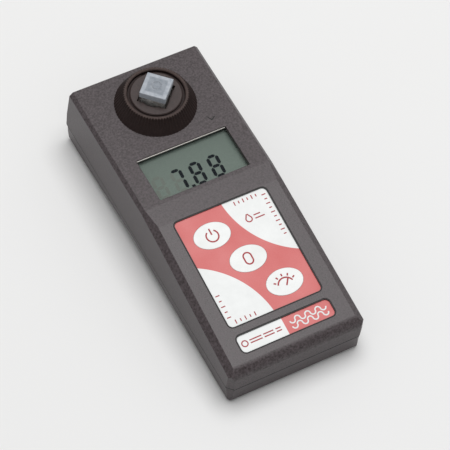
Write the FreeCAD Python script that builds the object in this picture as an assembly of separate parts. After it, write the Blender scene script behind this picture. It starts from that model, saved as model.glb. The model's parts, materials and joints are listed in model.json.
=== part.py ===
import FreeCAD, Part
import math
import os

# Digital water tester (pocket photometer), millimetres.
# Origin: middle of the base. +Y points to the head, +X to the right of the keypad, +Z up.
V = FreeCAD.Vector

# ---------------------------------------------------------------- driving dimensions
LENGTH = 176.0            # along Y at the parting line
HALF_WIDTH = 37.4         # at the parting line
PARTING_Z = 13.0
HEAD_Z = 38.0             # flat top of the head
SIDE_DRAFT = 0.058        # side walls lean in this much per mm of height
END_DRAFT = 0.06
HANDLE_SLOPE = math.radians(8.74)
BEND_TOP_Y = 7.0          # head ends, ramp begins
BEND_LOW_Y = -4.2         # ramp ends, handle begins
BEND_LOW_Z = 37.28
HEAD_BEVEL = (1.8, 2.1)   # width, height
HANDLE_BEVEL = (3.5, 2.8)
NEAR_CORNER = 3.2         # 45 degree corner chamfer at the near end
FAR_CORNER = 0.9
NOSE_RADIUS = 5.0         # handle top into the near end wall
WALL = 2.2
PART_STEP = 0.45          # the lower case is this much smaller all round
DRAWN_WIDE = 100.0        # width of a side view used as a cutter

GASKET_INSETS = (0.95, 1.75)
GASKET_HALF = 0.7
GASKET_LIP = (0.1, 0.9)   # inset and height of the lip that shows under the upper case

ARCH_Y = 16.0             # highest place under the case
ARCH_Z = 4.9
FOOT_FAR_Y = 74.0         # the flat landings that it stands on
FOOT_NEAR_Y = -72.0
LOWER_TUCK = 0.06
BOTTOM_BEVEL = 1.6

WINDOW = (-24.8, 24.8, 9.3, 35.3)      # x0, x1, y0, y1 of the display opening
WINDOW_CORNER = 0.8
LENS_T = 1.5

KEYPAD_HALF = 25.7
KEYPAD_Y = (-61.8, -0.3)  # in handle coordinates, along the slope
KEYPAD_RECESS = 1.0
OVERLAY_T = 0.35
PANEL_CORNER = 3.0
LABEL_Y = (-76.0, -65.8)
LABEL_RECESS = 0.95
LABEL_T = 0.30
KEY_HALF = (9.6, 6.9)     # oval half lengths
KEY_GAP = 0.08
KEY_BASE = -0.70          # top of the key's pad, in handle coordinates
KEY_CROWN = 0.2           # its rounded crown stands this much higher
KEY_STEM_Z = -3.6
KEYS = {"key_on_off": (-10.5, -14.0), "key_zero": (0.0, -31.9), "key_read": (10.5, -50.0)}

WELL_Y = 62.65            # collar and sample well axis
COLLAR_BASE_R = 20.9
COLLAR_RIM_R = 16.4
COLLAR_TOP_Z = 46.6
COLLAR_TEETH = 72
TOOTH_RIM, TOOTH_BASE = 0.75, 0.25
BARREL_R = 13.2
RUNNING_GAP = 0.06
FLANGE_R = 18.0
CELL_SIDE = 12.5          # the cuvette
CELL_WALL = 1.25
CELL_BOTTOM_Z = 5.4
CELL_HEIGHT = 45.0
WELL_SIDE = 13.3
WELL_WALL = 1.6
WELL_FLOOR = 1.0
WELL_MOUTH = (15.2, 2.6)  # wider square at the top: side, depth
CAP_SIDE = 13.6
CAP_TOP_Z = 52.4
LIGHT_Z = 21.0            # height of the light path

BOARD_T = 1.6
LEAD_T = 0.25             # flat flexible leads
BATTERY_R = 5.25
BATTERY_L = 44.5
BATTERY_PITCH = 10.8
DOOR = (21.1, -33.0, 25.1)             # half width, near end, far end, in belly coordinates
DOOR_T = 2.0
DOOR_GAP = 0.2
SCREW_Y = -29.4
CASE_SCREWS = [(x, y) for x in (-31.2, 31.2) for y in (79.0, 3.0, -79.5)]
CASE_SCREW_R = 1.5
CASE_SCREW_HEAD_R = 2.7
CASE_SCREW_HEAD = 2.2     # head height
CASE_SCREW_SEAT = 7.0     # height of the ledge that the head pulls on
BOSS_R = 3.0
POST_R = 4.4
PILOT_DEPTH = 8.0


# ---------------------------------------------------------------- helpers
def box(x0, x1, y0, y1, z0, z1):
    return Part.makeBox(x1 - x0, y1 - y0, z1 - z0, V(x0, y0, z0))


def rod(x, y, z0, z1, r):
    return Part.makeCylinder(r, z1 - z0, V(x, y, z0))


def face(points):
    return Part.Face(Part.makePolygon([V(*p) for p in points] + [V(*points[0])]))


def upright_edges(shape):
    return [e for e in shape.Edges if abs(e.Vertexes[0].Z - e.Vertexes[1].Z) > 1e-6]


def plate(x0, x1, y0, y1, z0, z1, corner):
    """A flat block with rounded upright corners."""
    block = box(x0, x1, y0, y1, z0, z1)
    return block.makeFillet(corner, upright_edges(block))


def oval(x, y, half_x, half_y, z0, z1):
    edge = Part.Ellipse(V(x, y, z0), half_x, half_y).toShape()
    return Part.Face(Part.Wire(edge)).extrude(V(0, 0, z1 - z0))


def oval_dome(x, y, half_x, half_y, z0, rise):
    """A shallow stepped crown for a key: a drafted slab with rounded top."""
    slab = oval(x, y, half_x, half_y, z0, z0 + rise)
    top = [e for e in slab.Edges if abs(e.BoundBox.ZMin - z0 - rise) < 1e-6 and e.BoundBox.ZLength < 1e-6]
    return slab.makeFillet(rise * 0.8, top)


def joined(shapes):
    first = shapes[0]
    return first.fuse(shapes[1:]).removeSplitter() if len(shapes) > 1 else first


def placed(shape, origin, tilt=0.0, turn=0.0):
    """Move a shape from local coordinates: turn about Z, tilt about X, then move to origin."""
    out = shape.copy()
    spin = FreeCAD.Rotation(V(1, 0, 0), math.degrees(tilt)) * FreeCAD.Rotation(V(0, 0, 1), turn)
    out.Placement = FreeCAD.Placement(V(*origin), spin)
    return out


def on_handle(shape):
    return placed(shape, (0, BEND_LOW_Y, BEND_LOW_Z), tilt=HANDLE_SLOPE)


BELLY_TILT = math.atan(ARCH_Z / (ARCH_Y - FOOT_NEAR_Y))
BELLY_Y = -38.0


def on_belly(shape):
    height = (BELLY_Y - FOOT_NEAR_Y) * math.tan(BELLY_TILT)
    return placed(shape, (0, BELLY_Y, height), tilt=BELLY_TILT)


def at_well(shape):
    """The well stands at 45 degrees to the case; its light path is the local X axis."""
    return placed(shape, (0, WELL_Y, 0), turn=-45.0)


def body_through(stations):
    """A flat-faced solid through outlines at given Y, each a list of (x, z)."""
    rings = [[V(x, y, z) for x, z in outline] for y, outline in stations]
    faces = [Part.Face(Part.makePolygon(ring + ring[:1])) for ring in (rings[0], rings[-1])]
    for ring, other in zip(rings, rings[1:]):
        for i, a in enumerate(ring):
            b, c, d = ring[(i + 1) % len(ring)], other[(i + 1) % len(ring)], other[i]
            flat = abs((b - a).cross(c - a).dot(d - a)) < 1e-6
            for corners in ([[a, b, c, d]] if flat else [[a, b, c], [a, c, d]]):
                faces.append(Part.Face(Part.makePolygon(corners + corners[:1])))
    solid = Part.Solid(Part.Shell(faces))
    return solid if solid.Volume > 0 else solid.reversed()


def side_at(z):
    return HALF_WIDTH - SIDE_DRAFT * (z - PARTING_Z)


def handle_z(y):
    return BEND_LOW_Z + math.tan(HANDLE_SLOPE) * (y - BEND_LOW_Y)


def corner_cutters(inset):
    """Upright wedges that chamfer the near corners and ease the far ones."""
    half, end = HALF_WIDTH - inset, LENGTH / 2 - inset
    beyond, below, height = 2.0, -5.0, 60.0
    wedges = []
    for sign in (-1, 1):
        for corner, way in ((NEAR_CORNER, -1), (FAR_CORNER, 1)):
            a = (sign * (half - corner - beyond), way * (end + beyond), below)
            b = (sign * (half + beyond), way * (end - corner - beyond), below)
            d = (sign * (half + 4 * beyond), way * (end + 4 * beyond), below)
            wedges.append(face([a, b, d]).extrude(V(0, 0, height)))
    return wedges


def wide(side_view):
    """A side view in the YZ plane, drawn out wider than the case."""
    return side_view.extrude(V(DRAWN_WIDE, 0, 0)).translated(V(-DRAWN_WIDE / 2, 0, 0))


# ---------------------------------------------------------------- case mouldings
def upper_block(inset):
    """Solid of the upper case; with an inset it is the space inside."""
    past_end = LENGTH / 2 + 2
    stations = [
        (past_end, HEAD_Z, HEAD_BEVEL),
        (BEND_TOP_Y, HEAD_Z, HEAD_BEVEL),
        (BEND_LOW_Y, BEND_LOW_Z, HANDLE_BEVEL),
        (-past_end, handle_z(-past_end), HANDLE_BEVEL),
    ]
    outlines = []
    for y, top, (bevel_w, bevel_h) in stations:
        low, high = top - bevel_h, top - inset
        half = side_at(low)
        outline = [(-side_at(PARTING_Z) + inset, PARTING_Z), (-half + inset, low - 0.5 * inset)]
        outline += [(-half + bevel_w + 0.6 * inset, high)]
        outline += [(-x, z) for x, z in reversed(outline)]
        outlines.append((y, outline))
    body = body_through(outlines)
    return body.common(upper_profile(inset)).cut(corner_cutters(inset))


def upper_profile(inset):
    """Side view of the upper case with its drafted ends and rounded nose, drawn wide."""
    far, near = LENGTH / 2 - inset, -LENGTH / 2 + inset
    radius = NOSE_RADIUS - inset
    drop = math.tan(HANDLE_SLOPE)
    wall = V(0, math.sin(math.atan(END_DRAFT)), math.cos(math.atan(END_DRAFT)))
    top = V(0, math.cos(HANDLE_SLOPE), math.sin(HANDLE_SLOPE))
    z_line = handle_z(near) - inset / math.cos(HANDLE_SLOPE)
    # the corner where the end wall would meet the sloping top
    corner_z = (z_line - drop * END_DRAFT * PARTING_Z) / (1 - drop * END_DRAFT)
    corner = V(0, near + END_DRAFT * (corner_z - PARTING_Z), corner_z)
    reach = radius / math.tan((math.pi / 2 + HANDLE_SLOPE - math.atan(END_DRAFT)) / 2)
    start, stop = corner - wall * reach, corner + top * reach
    middle = corner + (wall * -1 + top).normalize() * (math.hypot(reach, radius) - radius)
    far_top = V(0, far - END_DRAFT * (HEAD_Z - PARTING_Z), HEAD_Z)
    points = [stop, stop + top * 70, V(0, far_top.y, 60), far_top]
    points += [V(0, far, PARTING_Z), V(0, near, PARTING_Z), start]
    edges = [Part.makeLine(a, b) for a, b in zip(points, points[1:])]
    edges.append(Part.Arc(start, middle, stop).toShape())
    return wide(Part.Face(Part.Wire(edges)))


def lower_block(inset):
    """Solid of the lower case; with an inset it is the space inside."""
    half_top = HALF_WIDTH - PART_STEP - inset
    end = LENGTH / 2 - PART_STEP
    outlines = []
    for y, z in ((end, 0), (FOOT_FAR_Y, 0), (ARCH_Y, ARCH_Z), (FOOT_NEAR_Y, 0), (-end, 0)):
        floor = z + inset
        half = half_top - LOWER_TUCK * (PARTING_Z - z)
        outline = [(-half_top, PARTING_Z), (-half, floor + BOTTOM_BEVEL), (-half + BOTTOM_BEVEL, floor)]
        outline += [(-x, z2) for x, z2 in reversed(outline)]
        outlines.append((y, outline))
    body = body_through(outlines)
    far = end - inset
    foot = far - LOWER_TUCK * PARTING_Z
    side = [(0, far, PARTING_Z), (0, foot, inset + BOTTOM_BEVEL), (0, foot - BOTTOM_BEVEL, inset)]
    side += [(0, -y, z) for _, y, z in reversed(side)]
    return body.common(wide(face(side))).cut(corner_cutters(inset + PART_STEP))


def seal_block(inset, z0, z1):
    half, end = HALF_WIDTH - inset, LENGTH / 2 - inset
    return box(-half, half, -end, end, z0, z1).cut(corner_cutters(inset))


def seal_loop():
    """The gasket between the cases: a loop let into both rims, with a lip that shows outside."""
    outer, inner = GASKET_INSETS
    lip, lip_height = GASKET_LIP
    low, high = PARTING_Z - GASKET_HALF, PARTING_Z + GASKET_HALF
    loop = seal_block(outer, low, high).fuse(seal_block(lip, PARTING_Z - lip_height, PARTING_Z))
    return loop.removeSplitter().cut(seal_block(inner, low - 1, high + 1))


def key_holes(gap, z0, z1):
    ovals = [oval(x, y, KEY_HALF[0] + gap, KEY_HALF[1] + gap, z0, z1) for x, y in KEYS.values()]
    return [on_handle(o) for o in ovals]


def panel(y_range, corner, z0, z1, gap=0.0):
    return plate(-KEYPAD_HALF - gap, KEYPAD_HALF + gap, y_range[0] - gap, y_range[1] + gap, z0, z1, corner)


def make_upper_case():
    case = upper_block(0).cut(upper_block(WALL))
    bosses = [rod(x, y, PARTING_Z, HEAD_Z, BOSS_R) for x, y in CASE_SCREWS]
    pilots = [rod(x, y, PARTING_Z, PARTING_Z + PILOT_DEPTH, CASE_SCREW_R) for x, y in CASE_SCREWS]
    case = case.fuse([boss.common(upper_block(WALL / 2)) for boss in bosses]).cut(pilots)
    x0, x1, y0, y1 = WINDOW
    case = case.cut(plate(x0, x1, y0, y1, HEAD_Z - 5, HEAD_Z + 1, WINDOW_CORNER))
    case = case.cut(on_handle(panel(KEYPAD_Y, PANEL_CORNER, -KEYPAD_RECESS, 3, 0.12)))
    case = case.cut(on_handle(panel(LABEL_Y, PANEL_CORNER, -LABEL_RECESS, 3, 0.12)))
    case = case.cut(key_holes(KEY_GAP, -4, 0))
    case = case.cut(rod(0, WELL_Y, HEAD_Z - 5, HEAD_Z + 1, BARREL_R + 0.02))
    case = case.cut(make_index_mark())
    return case.cut(seal_loop())


def make_index_mark():
    """The small arrowhead that shows the light path, sunk into the head."""
    reach, arm, depth, width = 29.2, 1.9, 0.6, 0.6
    strokes = []
    for sign in (-1, 1):
        stroke = box(0, arm, -width / 2, width / 2, HEAD_Z - depth, HEAD_Z + 1)
        stroke.rotate(V(0, 0, 0), V(0, 0, 1), 180 + sign * 40)
        strokes.append(stroke.translated(V(reach, 0, 0)))
    return [at_well(stroke) for stroke in strokes]


def make_lower_case():
    case = lower_block(0).cut(lower_block(WALL))
    posts = [rod(x, y, 0, PARTING_Z, POST_R).common(lower_block(WALL / 2)) for x, y in CASE_SCREWS]
    case = case.fuse(posts)
    for x, y in CASE_SCREWS:
        sink = rod(x, y, -1, CASE_SCREW_SEAT, CASE_SCREW_HEAD_R + 0.2)
        clearance = rod(x, y, -1, PARTING_Z + 1, CASE_SCREW_R + 0.1)
        case = case.cut([sink, clearance])
    half, y0, y1 = DOOR
    opening = plate(-half - DOOR_GAP, half + DOOR_GAP, y0 - DOOR_GAP, y1 + DOOR_GAP, -3, 6, 1.2)
    return case.cut(on_belly(opening)).cut(seal_loop())


def make_case_screws():
    """Six cross-slot screws that reach from below into the upper case's bosses."""
    screws = []
    under = CASE_SCREW_SEAT - CASE_SCREW_HEAD
    arm, slit = 1.8, 0.35
    for x, y in CASE_SCREWS:
        head = rod(x, y, under, CASE_SCREW_SEAT, CASE_SCREW_HEAD_R)
        shank = rod(x, y, CASE_SCREW_SEAT, PARTING_Z + PILOT_DEPTH - 0.5, CASE_SCREW_R)
        cross = [box(x - arm, x + arm, y - slit, y + slit, under - 1, under + 1)]
        cross += [box(x - slit, x + slit, y - arm, y + arm, under - 1, under + 1)]
        screws.append(head.fuse(shank).removeSplitter().cut(cross))
    return Part.makeCompound(screws)


# ---------------------------------------------------------------- keypad and label
def make_overlay():
    sheet = panel(KEYPAD_Y, PANEL_CORNER - 0.1, -KEYPAD_RECESS, -KEYPAD_RECESS + OVERLAY_T)
    holes = [oval(x, y, KEY_HALF[0] + KEY_GAP, KEY_HALF[1] + KEY_GAP, -2, 1) for x, y in KEYS.values()]
    return on_handle(sheet.cut(holes))


def make_key(x, y):
    inner = -WALL - KEY_GAP
    pad = oval(x, y, KEY_HALF[0], KEY_HALF[1], inner, KEY_BASE)
    crown = oval_dome(x, y, KEY_HALF[0], KEY_HALF[1], KEY_BASE, KEY_CROWN)
    flange = oval(x, y, KEY_HALF[0] + 0.8, KEY_HALF[1] + 0.8, inner - 0.5, inner)
    stem = rod(x, y, KEY_STEM_Z, inner - 0.5, 1.6)
    return on_handle(joined([pad, crown, flange, stem]))


def make_label():
    return on_handle(panel(LABEL_Y, PANEL_CORNER - 0.1, -LABEL_RECESS, -LABEL_RECESS + LABEL_T))


KEY_BOARD_TOP = -4.6      # in handle coordinates, as are the next four
KEY_BOARD_UNDER = KEY_BOARD_TOP - BOARD_T
KEY_BOARD_HALF = 24.5
KEY_BOARD_Y = (-63.0, -2.5)
KEY_BOARD_FIXINGS = [(x, y) for x in (-21.5, 21.5) for y in (-60.5, -5.0)]
CHIPS = [(-8, -30, 7, 7, 1.6), (10, -26, 4, 3, 1.4), (9, -42, 3, 5, 1.4), (-12, -50, 4, 2.5, 2.4)]


def make_key_board():
    y0, y1 = KEY_BOARD_Y
    return on_handle(box(-KEY_BOARD_HALF, KEY_BOARD_HALF, y0, y1, KEY_BOARD_UNDER, KEY_BOARD_TOP))


def make_key_domes():
    """Snap domes under the key stems."""
    domes = [Part.makeCone(3.2, 1.8, 0.5, V(x, y, KEY_BOARD_TOP)) for x, y in KEYS.values()]
    return Part.makeCompound([on_handle(dome) for dome in domes])


def make_key_board_screws():
    screws = []
    for x, y in KEY_BOARD_FIXINGS:
        shank = rod(x, y, KEY_BOARD_UNDER, -WALL - 0.3, 1.0)
        head = rod(x, y, KEY_BOARD_UNDER - 1.4, KEY_BOARD_UNDER, 2.0)
        screws.append(on_handle(shank.fuse(head).removeSplitter()))
    return Part.makeCompound(screws)


def key_board_posts():
    return [on_handle(rod(x, y, KEY_BOARD_TOP, -WALL + 0.6, 2.4)) for x, y in KEY_BOARD_FIXINGS]


def make_controller_chips():
    """The chips that measure, store and drive the display: middle, half sizes and height."""
    chips = []
    for x, y, half_x, half_y, high in CHIPS:
        chips.append(on_handle(box(x - half_x, x + half_x, y - half_y, y + half_y,
                                   KEY_BOARD_UNDER - high, KEY_BOARD_UNDER)))
    return Part.makeCompound(chips)


# ---------------------------------------------------------------- display
LENS_TOP = HEAD_Z - WALL
LENS_UNDER = LENS_TOP - LENS_T
GLASS_TOP = LENS_UNDER - 0.1
GLASS_LEDGE = GLASS_TOP - 1.4          # the lower sheet of the cell is shorter
GLASS_UNDER = GLASS_TOP - 2.5
DISPLAY_BOARD_TOP = 28.6
DISPLAY_BOARD_UNDER = DISPLAY_BOARD_TOP - BOARD_T
LENS_EDGE = (27.0, 7.7, 37.3)          # half width, near and far edges
GLASS_EDGE = (26.0, 8.1, 36.6)
LENS_FRAME_EDGE = (28.0, 7.0, 38.0)
FRAME_OPENING = (25.0, 9.0, 35.6)
DISPLAY_BOARD_EDGE = (27.8, 6.4, 41.0)
DISPLAY_FIXINGS = [(x, y) for x in (-26.0, 26.0) for y in (7.8, 36.8)]
STRIP_Y = (9.4, 33.2)


def sheet_of(edge, z0, z1, gap=0.0):
    half, y0, y1 = edge
    return box(-half - gap, half + gap, y0 - gap, y1 + gap, z0, z1)


def make_lens():
    return sheet_of(LENS_EDGE, LENS_UNDER, LENS_TOP)


def make_display_glass():
    """Liquid crystal cell: two bonded sheets, the lower one leaves a ledge for its contacts."""
    half, y0, y1 = GLASS_EDGE
    upper = sheet_of(GLASS_EDGE, GLASS_LEDGE, GLASS_TOP)
    lower = sheet_of((half, y0 + 1.9, y1), GLASS_UNDER, GLASS_LEDGE)
    return upper.fuse(lower).removeSplitter()


def make_display_frame():
    outer = sheet_of(LENS_FRAME_EDGE, DISPLAY_BOARD_TOP, LENS_TOP)
    lens_pocket = sheet_of(LENS_EDGE, LENS_UNDER, LENS_TOP + 1)
    glass_pocket = sheet_of(GLASS_EDGE, GLASS_UNDER, LENS_TOP, gap=0.1)
    below = sheet_of(FRAME_OPENING, DISPLAY_BOARD_TOP - 1, LENS_TOP)
    return outer.cut([lens_pocket, glass_pocket, below])


def make_contact_strips():
    strips = [box(-23.0, 23.0, y, y + 2.0, DISPLAY_BOARD_TOP, GLASS_UNDER) for y in STRIP_Y]
    return Part.makeCompound(strips)


def make_display_board():
    return sheet_of(DISPLAY_BOARD_EDGE, DISPLAY_BOARD_UNDER, DISPLAY_BOARD_TOP)


def make_display_board_screws():
    heads = [rod(x, y, DISPLAY_BOARD_UNDER - 1.4, DISPLAY_BOARD_UNDER, 1.6) for x, y in DISPLAY_FIXINGS]
    return Part.makeCompound(heads)


def make_board_link():
    """Flat flexible lead from the display board to the key board."""
    start = V(0, 8.0, DISPLAY_BOARD_UNDER)
    turn = FreeCAD.Rotation(V(1, 0, 0), math.degrees(HANDLE_SLOPE))
    end = turn.multVec(V(0, -4.5, KEY_BOARD_UNDER)) + V(0, BEND_LOW_Y, BEND_LOW_Z)
    sag = V(0, 0, -3.0)
    thick, width = LEAD_T, 16.0
    path = [start, start + sag, end + sag, end]
    strips = []
    for a, b in zip(path, path[1:]):
        along = (b - a).normalize()
        side = V(0, -along.z, along.y) * (thick / 2)
        ends = [a + side, b + side, b - side, a - side]
        strip = Part.Face(Part.makePolygon(ends + ends[:1])).extrude(V(width, 0, 0))
        strips.append(strip.translated(V(-width / 2, 0, 0)))
    for p in path[1:-1]:
        strips.append(Part.makeCylinder(thick / 2, width, V(-width / 2, p.y, p.z), V(1, 0, 0)))
    return joined(strips).cut([make_display_board(), make_key_board()])


# ---------------------------------------------------------------- sample well and collar
def square(side, z0, z1):
    return box(-side / 2, side / 2, -side / 2, side / 2, z0, z1)


INSERT_TOP = COLLAR_TOP_Z - 0.4
FLANGE_TOP = HEAD_Z - WALL
FLANGE_T = 2.4
GROOVE = (BARREL_R - 0.5, 44.3, 0.7)   # bottom radius, height and width of the ring groove
RETAINER_R = 14.3
FLANGE_SEAL = (15.6, 17.2, 35.2, 0.6)  # inner and outer radius, height, thickness


def disc(r, z0, height, y=0.0):
    return Part.makeCylinder(r, height, V(0, y, z0))


def washer(inner_r, outer_r, z0, height, y=0.0):
    return disc(outer_r, z0, height, y).cut(disc(inner_r, z0, height, y))


def make_well_insert():
    barrel = disc(BARREL_R, FLANGE_TOP, INSERT_TOP - FLANGE_TOP)
    rim = [e for e in barrel.Edges if e.BoundBox.ZMin > INSERT_TOP - 1e-3]
    barrel = barrel.makeChamfer(0.5, rim)
    flange = disc(FLANGE_R, FLANGE_TOP - FLANGE_T, FLANGE_T)
    tube = square(WELL_SIDE + 2 * WELL_WALL, CELL_BOTTOM_Z - WELL_FLOOR, FLANGE_TOP)
    insert = joined([barrel, flange, tube])
    mouth_side, mouth_depth = WELL_MOUTH
    cuts = [square(WELL_SIDE, CELL_BOTTOM_Z, 60), square(mouth_side, INSERT_TOP - mouth_depth, 60)]
    cuts.append(Part.makeCylinder(6.8, 1.3, V(0, -2.0, INSERT_TOP - 1.2)))
    cuts.append(Part.makeCylinder(2.0, 40, V(-20, 0, LIGHT_Z), V(1, 0, 0)))
    cuts += [rod(u, v, 33.0, 35.0, 1.1) for u, v in block_screw_points()]
    groove_r, groove_z, groove_h = GROOVE
    cuts.append(washer(groove_r, BARREL_R + 1, groove_z, groove_h))
    return at_well(insert.cut(cuts))


def make_flange_seal():
    inner_r, outer_r, z, thick = FLANGE_SEAL
    return washer(inner_r, outer_r, z, thick, WELL_Y)


def star(radius, depth, z):
    """Toothed outline: the collar's grip teeth."""
    points = []
    for i in range(COLLAR_TEETH * 2):
        angle = math.pi * i / COLLAR_TEETH
        r = radius - (depth if i % 2 else 0.0)
        points.append(V(r * math.cos(angle), WELL_Y + r * math.sin(angle), z))
    return Part.makePolygon(points + points[:1])


def make_collar():
    """The turning light shade round the well, toothed for grip."""
    base = star(COLLAR_BASE_R, TOOTH_BASE, HEAD_Z + RUNNING_GAP)
    rim = star(COLLAR_RIM_R, TOOTH_RIM, COLLAR_TOP_Z)
    cone = Part.makeLoft([base, rim], True, True)
    pocket_r = RETAINER_R + 0.2
    bore = disc(BARREL_R + RUNNING_GAP, 30, 20, WELL_Y)
    pocket = disc(pocket_r, GROOVE[1] - 0.1, 5, WELL_Y)
    lead = Part.makeCone(pocket_r, pocket_r + 0.5, 0.5, V(0, WELL_Y, COLLAR_TOP_Z - 0.5))
    seal_groove = washer(17.4, 19.0, HEAD_Z, 0.9, WELL_Y)
    return cone.cut([bore, pocket, lead, seal_groove])


def make_retainer():
    """Split ring that holds the collar down on the barrel."""
    ring = washer(GROOVE[0], RETAINER_R, GROOVE[1] + 0.05, GROOVE[2] - 0.1, WELL_Y)
    return ring.cut(box(-1.0, 1.0, WELL_Y + 10, WELL_Y + 16, 44, 46))


def make_collar_seal():
    return Part.makeTorus(18.2, 0.36, V(0, WELL_Y, HEAD_Z + 0.38))


def make_cuvette():
    """Square clear cell, open at the top, standing on the well's floor."""
    bottom = CELL_BOTTOM_Z + 0.02
    body = square(CELL_SIDE, bottom, bottom + CELL_HEIGHT)
    body = body.makeFillet(0.6, upright_edges(body))
    return at_well(body.cut(square(CELL_SIDE - 2 * CELL_WALL, bottom + CELL_WALL, 80)))


def make_cap():
    """Lid that plugs the cell and laps over its rim, with a ring sunk into the top."""
    rim = CELL_BOTTOM_Z + CELL_HEIGHT + 0.05
    lap, plug_depth, fit = 1.7, 3.0, 0.16
    top = square(CAP_SIDE, rim - lap, CAP_TOP_Z)
    rounded = upright_edges(top) + [e for e in top.Edges if e.BoundBox.ZMin > CAP_TOP_Z - 1e-3]
    top = top.makeFillet(0.45, rounded)
    skirt = square(CELL_SIDE + fit, rim - 5, rim)
    plug = square(CELL_SIDE - 2 * CELL_WALL - fit, rim - plug_depth, rim)
    ring = washer(1.9, 2.6, CAP_TOP_Z - 0.18, 0.5)
    return at_well(top.cut(skirt).fuse(plug).removeSplitter().cut(ring))


# ---------------------------------------------------------------- optics
BLOCK_U, BLOCK_V = 17.0, 12.0          # half lengths along and across the light path
BLOCK_Z = (14.0, 28.0)
LAMP_R, LAMP_AT = 2.5, 11.4            # where its dome begins
FILTER_R, FILTER_AT, FILTER_T = 3.0, -8.6, 2.2
CAN_R, CAN_AT, CAN_L = 4.0, -11.1, 4.2
LEG_R = 0.25


def block_screw_points():
    return [(u, v) for u in (-13.2, 13.2) for v in (-9.4, 9.4)]


def along_light(r, start, length, v=0.0):
    """A rod on the light path, from start towards the lamp, or away from it if length is negative."""
    return Part.makeCylinder(r, abs(length), V(start, v, LIGHT_Z), V(math.copysign(1, length), 0, 0))


def make_optical_block():
    z0, z1 = BLOCK_Z
    block = box(-BLOCK_U, BLOCK_U, -BLOCK_V, BLOCK_V, z0, z1)
    posts = [rod(u, v, z1, FLANGE_TOP - FLANGE_T, 2.4) for u, v in block_screw_points()]
    block = block.fuse(posts).removeSplitter()
    cuts = [square(WELL_SIDE + 2 * WELL_WALL + 0.04, z0 - 4, z1 + 2)]
    cuts += [rod(u, v, z0 - 4, 40, 1.25) for u, v in block_screw_points()]
    cuts += [along_light(LAMP_R + 0.05, 0, 20), along_light(FILTER_R + 0.1, 0, CAN_AT + 0.1)]
    cuts += [along_light(CAN_R + 0.1, CAN_AT + 0.1, -12)]
    return at_well(block.cut(cuts))


def make_light_source():
    dome = Part.makeSphere(LAMP_R, V(LAMP_AT, 0, LIGHT_Z)).cut(along_light(LAMP_R + 1, LAMP_AT, 8))
    body = along_light(LAMP_R, LAMP_AT, BLOCK_U - LAMP_AT + 0.2)
    base = along_light(LAMP_R + 0.4, BLOCK_U, 1.0)
    legs = [along_light(LEG_R, BLOCK_U + 1.0, 2.2, v) for v in (-1.27, 1.27)]
    return at_well(joined([body, dome, base] + legs))


def make_filter():
    return at_well(along_light(FILTER_R, FILTER_AT, -FILTER_T))


def make_photodiode():
    can = along_light(CAN_R, CAN_AT, -CAN_L)
    brim = along_light(CAN_R + 0.05, CAN_AT - CAN_L, -0.6)
    legs = [along_light(LEG_R, CAN_AT - CAN_L - 0.6, -3.0, v) for v in (-1.6, 1.6)]
    return at_well(joined([can, brim] + legs))


def make_block_screws():
    screws = []
    for u, v in block_screw_points():
        shank = rod(u, v, BLOCK_Z[0], FLANGE_TOP - 1.2, 1.1)
        head = rod(u, v, BLOCK_Z[0] - 1.6, BLOCK_Z[0], 2.1)
        screws.append(at_well(shank.fuse(head).removeSplitter()))
    return Part.makeCompound(screws)


def make_sensor_lead():
    """Ribbon from under the display board to the legs of the light source."""
    x0, x1, near, far = 13.0, 17.0, 38.0, 47.25
    flat = box(x0, x1, near, far, DISPLAY_BOARD_UNDER - LEAD_T, DISPLAY_BOARD_UNDER)
    drop = box(x0, x1, far - LEAD_T, far, LIGHT_Z - 2.5, DISPLAY_BOARD_UNDER)
    return joined([flat, drop])


# ---------------------------------------------------------------- batteries
TRAY = (24.6, -33.2, 28.0)             # half width, near and far ends, in belly coordinates
TRAY_Z = (WALL, 15.4)
POCKET_HALF = DOOR[0] + 0.7
POCKET_Y = 25.4
POCKET_TOP = 14.3
CELL_Z = 8.9
CELL_X = [(i - 1.5) * BATTERY_PITCH for i in range(4)]
NUB_R, NUB_L = 1.9, 0.8
CONTACT_T = 0.4
LIP_IN, LIP_H = 1.2, 1.3               # the door's raised rim: set in this far, this high
LIP_Y = POCKET_Y - 1.6
DOOR_SCREW_R, DOOR_SCREW_HEAD_R = 2.4, 3.25
DOOR_SCREW_HEAD = (0.15, 1.15)


def make_battery_tray():
    """Open box over the four cells, with ribs between them and a threaded eye for the door."""
    half, y0, y1 = TRAY
    z0, z1 = TRAY_Z
    tray = box(-half, half, y0, y1, z0, z1)
    cuts = [box(-POCKET_HALF, POCKET_HALF, -POCKET_Y, POCKET_Y, z0 - 1, POCKET_TOP)]
    cuts += [box(-30, -6.5, -40, -27.0, 0, 30), box(6.5, 30, -40, -27.0, 0, 30)]
    ribs = []
    for x in (-BATTERY_PITCH, 0, BATTERY_PITCH):
        ribs.append(box(x - 0.12, x + 0.12, -20, 20, CELL_Z + 0.5, POCKET_TOP + 0.1))
    tray = tray.cut(cuts).fuse(ribs).removeSplitter()
    return on_belly(tray.cut(rod(0, SCREW_Y, 0, 11.0, DOOR_SCREW_R + 0.16)))


def make_battery(x, turned):
    end = BATTERY_L / 2
    body = Part.makeCylinder(BATTERY_R, BATTERY_L - NUB_L, V(x, -end, CELL_Z), V(0, 1, 0))
    nub = Part.makeCylinder(NUB_R, NUB_L, V(x, end - NUB_L, CELL_Z), V(0, 1, 0))
    cell = body.fuse(nub).removeSplitter()
    if turned:
        cell.rotate(V(x, 0, CELL_Z), V(0, 0, 1), 180)
    return on_belly(cell)


def make_contacts():
    """Flat contact plates at both ends of the pocket."""
    plates = []
    for y in (-POCKET_Y, POCKET_Y - CONTACT_T):
        for x in (-BATTERY_PITCH, BATTERY_PITCH):
            plates.append(on_belly(box(x - 9.6, x + 9.6, y, y + CONTACT_T, 4.6, 13.4)))
    return Part.makeCompound(plates)


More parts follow.
